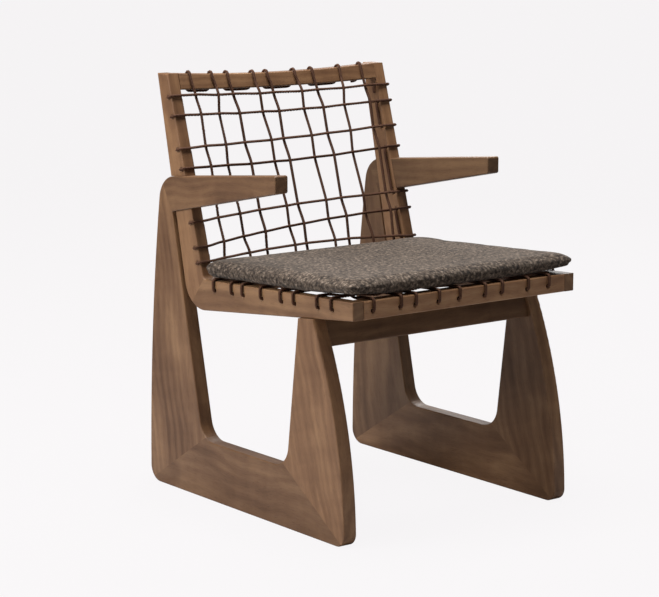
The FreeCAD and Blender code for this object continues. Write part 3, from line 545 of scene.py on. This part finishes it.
def seat_crossing(long, cross):
    """Where two cords of the seat cross: the ones next to the left and the front rail bow inwards, the
    second half as much."""
    x, way = SEAT_X[long], SEAT_WAYS[cross]
    if long == 0:
        x += SEAT_BOW * arch(way / SEAT_LENGTH)
    if cross == 0:
        way += SEAT_BOW / 2 * hang(x)
    return x, way


def edge_turn(place, sign, way, hole):
    """From the inner face of a stile or rail through its hole, round its outer edge and on to its front."""
    return [
        place(sign * (INNER - ON_WOOD), way, hole),
        place(sign * (INNER + NEAR), way, hole),
        place(sign * (OUTER - NEAR), way, hole),
        place(sign * (OUTER + ON_WOOD), way, hole),
        place(sign * (OUTER + ON_WOOD), way, hole / 2),
        place(sign * (OUTER + ON_WOOD), way, -ON_WOOD),
        place(sign * (OUTER - NEAR), way, -ON_WOOD),
        place(sign * INNER, way, -ON_WOOD),
    ]


def woven(long, cross):
    """Depths of a long cord and of the cross cord that it meets: over and under by turns."""
    return (UNDER, OVER) if (long + cross) % 2 == 0 else (OVER, UNDER)


def cross_run(place, net, right, left, hole, cross, crossings):
    """One run from the right to the left, woven through the long cords."""
    run = edge_turn(place, 1, right, hole)
    for long in reversed(range(len(crossings))):
        x, way = crossings[long]
        into = woven(long, cross)[1]
        run += [net(x + NEAR / 2, way, into), net(x - NEAR / 2, way, into)]
    return run + edge_turn(place, -1, left, hole)[::-1]


def long_weave(net, long, crossings):
    """A long cord's way through the cross cords, from the last to the first."""
    run = []
    for cross in reversed(range(len(crossings))):
        x, way = crossings[cross]
        into = woven(long, cross)[0]
        run += [net(x, way + NEAR / 2, into), net(x, way - NEAR / 2, into)]
    return run


def back_long_run(long):
    """Through the rear rail, up the back, over the top rail's edge and down through its hole. The edges of
    the top rail hang down in the middle."""
    low, top, net = LOW_X[long], TOP_X[long], NET_X[long]
    hole = BACK_LENGTH + REAR_HOLE_DOWN
    dip = TOP_RAIL_HOLLOW * hang(top)
    over = BACK_TOP[1] - dip + ON_WOOD
    under = TOP_RAIL_LOW - TOP_RAIL_BELLY * hang(top) - ON_WOOD
    return [
        on_back(low, hole, REAR_RAIL + ON_WOOD),
        on_back(low, hole, REAR_RAIL - NEAR),
        on_back(low, hole, NEAR),
        on_back(low, hole, -ON_WOOD),
        on_back(low, BACK_LENGTH, -ON_WOOD),
        *long_weave(on_back, long, [back_crossing(long, cross) for cross in range(len(LEFT_DOWN))]),
        on_back((top + 2 * net) / 3, TOP_LEAD, -ON_WOOD),
        on_back(top, NEAR + dip, -ON_WOOD),
        on_back(top, dip - TOP_RISE, -ON_WOOD),
        Vector((top, TOP_HOLE_Y, over)),
        Vector((top, TOP_HOLE_Y, over - NEAR)),
        Vector((top, TOP_HOLE_Y, TOP_RAIL_LOW + NEAR)),
        Vector((top, TOP_HOLE_Y, under)),
    ]


def seat_long_run(long):
    """Up through the rear rail, forward over the seat, round the front rail's edge and back through it."""
    x = SEAT_X[long]
    hole = SEAT_LENGTH + REAR_HOLE_BACK
    front = SEAT_FRONT[0] - ON_WOOD
    return [
        on_seat(x, hole, REAR_RAIL + ON_WOOD),
        on_seat(x, hole, REAR_RAIL - NEAR),
        on_seat(x, hole, NEAR),
        on_seat(x, hole, -ON_WOOD),
        on_seat(x, SEAT_LENGTH, -ON_WOOD),
        *long_weave(on_seat_net, long, [seat_crossing(long, cross) for cross in range(len(SEAT_WAYS))]),
        on_seat(x, FRONT_LEAD, -ON_WOOD),
        on_seat(x, NEAR, -ON_WOOD),
        Vector((x, front, SEAT_FRONT[1] + ON_WOOD)),
        Vector((x, front, FRONT_HOLE_Z + NEAR)),
        Vector((x, front, FRONT_HOLE_Z)),
        Vector((x, front + NEAR, FRONT_HOLE_Z)),
        Vector((x, FRONT_RAIL_REAR - NEAR, FRONT_HOLE_Z)),
        Vector((x, FRONT_RAIL_REAR + ON_WOOD, FRONT_HOLE_Z)),
    ]


def lace(runs, first_tail, last_tail, sag):
    """One route from its runs, every other one turned round, with a loop from each to the next."""
    route = [first_tail]
    for number, run in enumerate(runs):
        run = run if number % 2 == 0 else run[::-1]
        if number > 0:
            for share in LOOP_SHARES:
                route.append(route_end.lerp(run[0], share) - Vector((0, 0, sag)))
        route += run
        route_end = run[-1]
    return route + [last_tail]


def strand_section():
    """The outline of the strands laid together, about 5.5 mm across."""
    outline = bpy.data.curves.new("strand_section", "CURVE")
    spline = outline.splines.new("POLY")
    spline.points.add(STRANDS * len(STRAND_RADII) - 1)
    for number, point in enumerate(spline.points):
        strand, place = divmod(number, len(STRAND_RADII))
        radius = STRAND_RADII[place]
        angle = math.radians(STRAND_ANGLES[place] + 360 // STRANDS * strand)
        point.co = (radius * math.cos(angle) * MM, radius * math.sin(angle) * MM, 0, 1)
    spline.use_cyclic_u = True
    section = bpy.data.objects.new("strand_section", outline)
    scene.collection.objects.link(section)
    return section


def twisted_cord(node, route, section, material):
    """The cord along a smooth line, with its strands turning once in every lay."""
    line = bpy.data.curves.new(node, "CURVE")
    line.dimensions = "3D"
    line.resolution_u = CORD_STEPS
    line.bevel_mode = "OBJECT"
    line.bevel_object = section
    line.use_fill_caps = True
    spline = line.splines.new("NURBS")
    spline.points.add(len(route) - 1)
    length = 0.0
    for number, point in enumerate(route):
        if number > 0:
            length += (point - route[number - 1]).length
        spline.points[number].co = (*(point * MM), 1)
        spline.points[number].tilt = 2 * math.pi * length / STRAND_LAY
    spline.order_u = 3
    spline.use_endpoint_u = True
    guide = bpy.data.objects.new(node + "_line", line)
    scene.collection.objects.link(guide)
    bpy.context.view_layer.update()
    mesh = bpy.data.meshes.new_from_object(guide.evaluated_get(bpy.context.evaluated_depsgraph_get()))
    bpy.data.objects.remove(guide)
    mesh.materials.clear()
    mesh.materials.append(material)
    mesh.shade_smooth()
    cord = bpy.data.objects.new(node + "_strands", mesh)
    scene.collection.objects.link(cord)
    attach(cord, "frame")
    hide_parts(node)


def make_lacing():
    """The four cords of the back and the seat."""
    longs = range(len(TOP_X))
    cross_back = []
    for cross, (right, left) in enumerate(zip(RIGHT_DOWN, LEFT_DOWN)):
        crossings = [back_crossing(long, cross) for long in longs]
        cross_back.append(cross_run(on_back, on_back, right, left, STILE_HOLE, cross, crossings))
    cross_seat = []
    for cross, way in enumerate(SEAT_WAYS):
        crossings = [seat_crossing(long, cross) for long in longs]
        cross_seat.append(cross_run(on_seat, on_seat_net, way, way, SEAT_HOLE, cross, crossings))
    long_back = [back_long_run(long) for long in longs]
    long_seat = [seat_long_run(long) for long in longs]
    inside = INNER - ON_WOOD
    routes = {
        "back_cross_cord": lace(
            cross_back,
            on_back(inside, RIGHT_DOWN[0] + TAIL, STILE_HOLE),
            on_back(-inside, LEFT_DOWN[-1] - TAIL, STILE_HOLE),
            TAUT,
        ),
        "seat_cross_cord": lace(
            cross_seat,
            on_seat(inside, SEAT_WAYS[0] + TAIL, SEAT_HOLE),
            on_seat(inside, SEAT_WAYS[-1] - TAIL, SEAT_HOLE),
            SLACK,
        ),
        "back_long_cord": lace(
            long_back,
            long_back[0][0] + Vector((TAIL, 0, 0)),
            long_back[-1][-1] - Vector((TAIL, 0, 0)),
            SNUG,
        ),
        "seat_long_cord": lace(
            long_seat,
            long_seat[0][0] + Vector((TAIL, 0, 0)),
            long_seat[-1][-1] - Vector((TAIL, 0, 0)),
            SLACK,
        ),
    }
    section = strand_section()
    material = waxed_cord("waxed_cord")
    for node, route in routes.items():
        twisted_cord(node, route, section, material)
    bpy.data.objects.remove(section)


make_lacing()

# Seat cushion, in metres. The sewn pad: its height, corners and edges, and its height over the seat rails
PAD_HEIGHT = 0.0245
PAD_CORNER = 0.016
PAD_EDGE = 0.009
PAD_LOW_EDGE = 0.016
PAD_REST = 0.0064
# How near the top or the underside a point counts as part of it
LEVEL = 0.001
# Its filling: the size of the faces, the pressure, the frames it takes and how far a point may move
VOXEL = 0.005
PRESSURE = 4.0
SWELL_FRAMES = 20
SWELL_CAP = 0.006
# How far it reaches past its solid on either side, and at its front and rear
SPREAD = Vector((0.006, 0.002, 0))
# Its underside: the share that is left of its sag, and the heights between which it passes into the sides
SAG_SHARE = 0.06
UNDERSIDE = (0.004, 0.024)
# Its front corners: where they begin to rise, from the middle of the pad, and how far they rise
CORNER_X = 0.15
CORNER_Y = 0.06
CORNER_RISE = 0.006
# Its seam: height, width and depth, and how upright a face is that has it
SEAM_HEIGHT = 0.011
SEAM_WIDTH = 0.002
SEAM_DEPTH = 0.0012
UPRIGHT = (0.4, 0.8)


def smooth_step(low, high, value):
    """Rises smoothly from 0 at the low value to 1 at the high one."""
    share = min(max((value - low) / (high - low), 0), 1)
    return share * share * (3 - 2 * share)


def seat_height(y):
    """The top of the seat rails."""
    return SEAT_FRONT[1] * MM - (y - SEAT_FRONT[0] * MM) * math.tan(SEAT_FALL)


def flatten(pad):
    """Makes what the modifiers give the piece's own mesh."""
    bpy.context.view_layer.update()
    mesh = bpy.data.meshes.new_from_object(pad.evaluated_get(bpy.context.evaluated_depsgraph_get()))
    pad.modifiers.clear()
    pad.data = mesh


def side_of(edge):
    """Which edge of a flat box this is: one of its top's, 1, its underside's, -1, or an upright one, 0."""
    heights = [vertex.co.z for vertex in edge.verts]
    if min(heights) > PAD_HEIGHT / 2 - LEVEL:
        return 1
    return -1 if max(heights) < LEVEL - PAD_HEIGHT / 2 else 0


def sewn_pad(low, high):
    """The cover as it is cut and sewn: a flat box with small corners and well rounded edges."""
    shape = bmesh.new()
    bmesh.ops.create_cube(shape, size=1.0)
    size = (high[0] - low[0], high[1] - low[1], PAD_HEIGHT)
    bmesh.ops.scale(shape, vec=size, verts=shape.verts)
    for side, reach in ((0, PAD_CORNER), (1, PAD_EDGE), (-1, PAD_LOW_EDGE)):
        edges = [e for e in shape.edges if side_of(e) == side]
        bmesh.ops.bevel(
            shape, geom=edges, offset=reach, segments=4, profile=0.5, affect="EDGES", material=-1
        )
    middle = (low[1] + high[1]) / 2
    bmesh.ops.rotate(shape, matrix=Matrix.Rotation(-SEAT_FALL, 3, "X"), verts=shape.verts)
    bmesh.ops.translate(
        shape, vec=(0, middle, seat_height(middle) + PAD_REST + PAD_HEIGHT / 2), verts=shape.verts
    )
    mesh = bpy.data.meshes.new("seat_cushion")
    shape.to_mesh(mesh)
    shape.free()
    pad = bpy.data.objects.new("seat_cushion", mesh)
    scene.collection.objects.link(pad)
    return pad


def swell(pad):
    """Blows the sewn pad up a little, as its filling does, with no point moving further than the cap."""
    pad.modifiers.new("voxels", "REMESH").voxel_size = VOXEL
    flatten(pad)
    rest = [vertex.co.copy() for vertex in pad.data.vertices]
    cloth = pad.modifiers.new("cloth", "CLOTH")
    cloth.settings.use_pressure = True
    cloth.settings.uniform_pressure_force = PRESSURE
    cloth.settings.effector_weights.gravity = 0
    for frame_number in range(1, SWELL_FRAMES + 1):
        scene.frame_set(frame_number)
    flatten(pad)
    scene.frame_set(1)
    for vertex, before in zip(pad.data.vertices, rest):
        moved = vertex.co - before
        if moved.length > SWELL_CAP:
            vertex.co = before + moved.normalized() * SWELL_CAP


def fit_across(pad, low, high):
    """Brings the pad, which draws in as it swells, to this length and width."""
    for axis in (0, 1):
        places = [vertex.co[axis] for vertex in pad.data.vertices]
        share = (high[axis] - low[axis]) / (max(places) - min(places))
        start = min(places)
        for vertex in pad.data.vertices:
            vertex.co[axis] = low[axis] + (vertex.co[axis] - start) * share


def settle(pad, low, high):
    """Lays the pad on the cords: its underside is flat there, and rises a little at its front corners."""
    for vertex in pad.data.vertices:
        x, y, z = vertex.co
        above = z - seat_height(y) - PAD_REST
        if above < 0:
            above *= SAG_SHARE
        underside = 1 - smooth_step(*UNDERSIDE, above)
        across = smooth_step(CORNER_X, high[0], abs(x))
        along = smooth_step(CORNER_Y, (high[1] - low[1]) / 2, (low[1] + high[1]) / 2 - y)
        vertex.co.z = seat_height(y) + PAD_REST + above + CORNER_RISE * across * along * underside


def sew_seam(pad):
    """Draws the cover in along the seam that runs round its sides."""
    pad.data.update()
    normals = [vertex.normal.copy() for vertex in pad.data.vertices]
    for vertex, normal in zip(pad.data.vertices, normals):
        above = vertex.co.z - seat_height(vertex.co.y) - PAD_REST - SEAM_HEIGHT
        level = math.hypot(normal.x, normal.y)
        pull = math.exp(-((above / SEAM_WIDTH) ** 2)) * smooth_step(*UPRIGHT, level)
        vertex.co -= normal * SEAM_DEPTH * pull


def make_cushion():
    """A loose tweed pad, blown up and then settled on the cords."""
    low, high = [Vector(corner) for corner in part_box("cushion_cover")]
    pad = sewn_pad(low, high)
    swell(pad)
    fit_across(pad, low - SPREAD, high + SPREAD)
    settle(pad, low, high)
    pad.modifiers.new("finer", "SUBSURF").levels = 1
    pad.modifiers["finer"].render_levels = 1
    flatten(pad)
    sew_seam(pad)
    pad.data.materials.clear()
    pad.data.materials.append(tweed("knotted_tweed"))
    pad.data.shade_smooth()
    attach(pad, "cushion")
    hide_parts("cushion_cover", "cushion_foam")


make_cushion()

# Floor, light and camera
# Hues of the background and the floor, the floor's reach, its glow and the glow's share, and the fill light
PALE = "#F6F4F5"
PAPER = "#BCBABA"
FLOOR_REACH = 60
GLOW = 1.035
GLOW_SHARE = 0.955
FILL = 0.14
AIM = (0, 0, 0.4)
SOFTBOX_WIDTH = 1.6
# Where each light stands, and its power in watts
SOFTBOXES = {
    "key_softbox": ((-2.75, 0.8, 1.9), 76.0),
    "top_softbox": ((-0.2, 0.0, 2.9), 106.0),
    "rear_softbox": ((2.4, 1.8, 2.0), 40.0),
}
# Where the camera stands, how far it looks down and to the right, in degrees, and its lens in millimetres
CAMERA_PLACE = (-2.4802, -3.1260, 1.0753)
CAMERA_DOWN = 10.062
CAMERA_RIGHT = 37.659
LENS = 119.3
SENSOR = 36.0


def make_floor():
    """A wide pale floor. To the camera it mostly glows, so it stays even, and it keeps a faint shadow."""
    shape = bmesh.new()
    bmesh.ops.create_grid(shape, x_segments=1, y_segments=1, size=FLOOR_REACH)
    mesh = bpy.data.meshes.new("floor")
    shape.to_mesh(mesh)
    shape.free()
    floor = bpy.data.objects.new("floor", mesh)
    scene.collection.objects.link(floor)
    material, tree = new_material("pale_paper")
    ray = add(tree, "ShaderNodeLightPath")
    seen = add(
        tree,
        "ShaderNodeMath",
        {"operation": "MULTIPLY"},
        {0: ray.outputs["Is Camera Ray"], 1: GLOW_SHARE},
    )
    paper = add(tree, "ShaderNodeBsdfDiffuse", {}, {"Color": linear(PAPER)})
    glow = add(tree, "ShaderNodeEmission", {}, {"Color": linear(PALE), "Strength": GLOW})
    both = add(
        tree,
        "ShaderNodeMixShader",
        {},
        {0: seen.outputs[0], 1: paper.outputs["BSDF"], 2: glow.outputs["Emission"]},
    )
    add(tree, "ShaderNodeOutputMaterial", {}, {"Surface": both.outputs["Shader"]})
    mesh.materials.append(material)


def make_world():
    """A faint even light from all around, which the camera sees as the pale background."""
    world = bpy.data.worlds.new("studio")
    scene.world = world
    world.use_nodes = True
    tree = world.node_tree
    tree.nodes.clear()
    ray = add(tree, "ShaderNodeLightPath")
    shown = add(
        tree,
        "ShaderNodeMath",
        {"operation": "MAXIMUM"},
        {0: ray.outputs["Is Camera Ray"], 1: ray.outputs["Is Transmission Ray"]},
    )
    fill = add(tree, "ShaderNodeBackground", {}, {"Color": linear("#FFFFFF"), "Strength": FILL})
    seen = add(tree, "ShaderNodeBackground", {}, {"Color": linear(PALE), "Strength": 1.0})
    both = add(
        tree,
        "ShaderNodeMixShader",
        {},
        {0: shown.outputs[0], 1: fill.outputs["Background"], 2: seen.outputs["Background"]},
    )
    add(tree, "ShaderNodeOutputWorld", {}, {"Surface": both.outputs["Shader"]})


def softbox(name, place, power):
    """A square light aimed at the middle of the chair."""
    light = bpy.data.lights.new(name, "AREA")
    light.shape = "SQUARE"
    light.size = SOFTBOX_WIDTH
    light.energy = power
    lamp = bpy.data.objects.new(name, light)
    lamp.location = place
    lamp.rotation_euler = (Vector(AIM) - Vector(place)).to_track_quat("-Z", "Y").to_euler()
    scene.collection.objects.link(lamp)


make_floor()
make_world()
for name, (place, power) in SOFTBOXES.items():
    softbox(name, place, power)

camera_data = bpy.data.cameras.new("photo_camera")
camera_data.sensor_fit = "HORIZONTAL"
camera_data.sensor_width = SENSOR
camera_data.lens = LENS
camera = bpy.data.objects.new("photo_camera", camera_data)
camera.location = CAMERA_PLACE
camera.rotation_euler = (math.radians(90 - CAMERA_DOWN), 0, math.radians(-CAMERA_RIGHT))
scene.collection.objects.link(camera)
scene.camera = camera

scene.view_settings.view_transform = "Standard"
